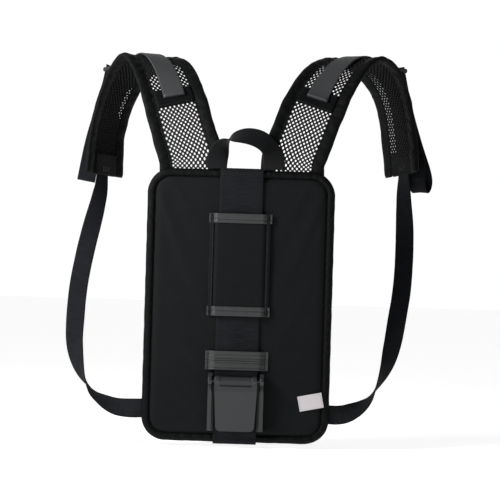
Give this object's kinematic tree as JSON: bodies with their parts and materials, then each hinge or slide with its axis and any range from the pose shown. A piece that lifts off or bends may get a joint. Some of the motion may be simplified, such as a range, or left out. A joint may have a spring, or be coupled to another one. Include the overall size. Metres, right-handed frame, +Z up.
{
  "type": "air unit back harness",
  "caption": "Back-carried harness for a powered air unit: padded panel, two mesh shoulder straps, carry handle and a webbing clamp with lever buckle.",
  "frame": {"origin": "centre of the panel's wearer-side face", "axes": "+X to the right of someone facing the outer face, +Y towards the wearer, +Z up"},
  "size_m": [0.4359, 0.1835, 0.4625],
  "materials": {
    "face_fabric": "smooth dark laminated fabric",
    "foam": "closed-cell foam",
    "board": "stiff plastic sheet",
    "spacer_mesh": "padded spacer mesh",
    "binding": "rolled woven binding",
    "webbing": "ribbed polypropylene webbing",
    "satin_webbing": "smooth satin webbing",
    "tape": "leather-look stitched tape",
    "sleeve_fabric": "smooth dark laminated fabric",
    "buckle_plastic": "fine satin moulding",
    "pin_steel": "plain steel",
    "label_fabric": "blank sewn label",
    "pad_fabric": "padded edge band",
    "open_mesh": "open knitted mesh",
    "lock_plastic": "moulded nylon"
  },
  "bodies": {
    "panel": {"rear_cover": "spacer_mesh", "foam_core": "foam", "stiffener_board": "board", "front_cover": "face_fabric", "edge_binding": "binding", "main_webbing": "webbing", "sleeve": "sleeve_fabric", "sleeve_top_tape": "tape", "sleeve_bottom_tape": "tape", "loop_upper_tape": "tape", "loop_lower_tape": "tape", "label": "label_fabric", "buckle_frame": "buckle_plastic", "hinge_pin": "pin_steel", "handle_anchors": "webbing", "left_strap_anchor": "pad_fabric", "left_lower_anchor": "webbing", "right_strap_anchor": "pad_fabric", "right_lower_anchor": "webbing"},
    "lever": {"buckle_lever": "buckle_plastic"},
    "handle": {"handle": "webbing"},
    "left_strap": {"left_strap_edges": "pad_fabric", "left_strap_mesh": "open_mesh", "left_cross_patch": "face_fabric", "left_end_patch": "face_fabric", "left_overlay": "satin_webbing", "left_lower_webbing": "webbing"},
    "left_lock": {"left_ladder_lock": "lock_plastic"},
    "left_tail": {"left_tail": "webbing"},
    "right_strap": {"right_strap_edges": "pad_fabric", "right_strap_mesh": "open_mesh", "right_cross_patch": "face_fabric", "right_end_patch": "face_fabric", "right_overlay": "satin_webbing", "right_lower_webbing": "webbing"},
    "right_lock": {"right_ladder_lock": "lock_plastic"},
    "right_tail": {"right_tail": "webbing"}
  },
  "joints": [
    {"name": "lever_hinge", "type": "hinge", "parent": "panel", "child": "lever", "pos_m": [0, -0.026, -0.0855], "axis": [-1, 0, 0], "range_deg": [0, 100]},
    {"name": "handle_fold", "type": "hinge", "parent": "panel", "child": "handle", "pos_m": [0, -0.0114, 0.161], "axis": [1, 0, 0], "range_deg": [0, 75], "stiffness_Nm_per_rad": 0.05},
    {"name": "left_strap_swing", "type": "hinge", "parent": "panel", "child": "left_strap", "pos_m": [0, -0.004, 0.16], "axis": [-1, 0, 0], "range_deg": [0, 15], "stiffness_Nm_per_rad": 2, "springref_deg": -2.86},
    {"name": "left_lock_tilt", "type": "hinge", "parent": "left_strap", "child": "left_lock", "pos_m": [-0.14337, 0.10233, 0.28403], "axis": [0.6868, 0.7266, 0.0163], "range_deg": [0, 25], "stiffness_Nm_per_rad": 0.02},
    {"name": "left_tail_swing", "type": "hinge", "parent": "left_lock", "child": "left_tail", "pos_m": [-0.16047, 0.1186, 0.27968], "axis": [0.6868, 0.7266, 0.0163], "range_deg": [0, 50]},
    {"name": "right_strap_swing", "type": "hinge", "parent": "panel", "child": "right_strap", "pos_m": [0, -0.004, 0.16], "axis": [-1, 0, 0], "range_deg": [0, 15], "stiffness_Nm_per_rad": 2, "springref_deg": -2.86},
    {"name": "right_lock_tilt", "type": "hinge", "parent": "right_strap", "child": "right_lock", "pos_m": [0.16591, 0.10181, 0.29077], "axis": [0.6543, -0.7562, 0.0025], "range_deg": [0, 25], "stiffness_Nm_per_rad": 0.02},
    {"name": "right_tail_swing", "type": "hinge", "parent": "right_lock", "child": "right_tail", "pos_m": [0.18395, 0.1174, 0.28804], "axis": [0.6543, -0.7562, 0.0025], "range_deg": [0, 50]}
  ]
}
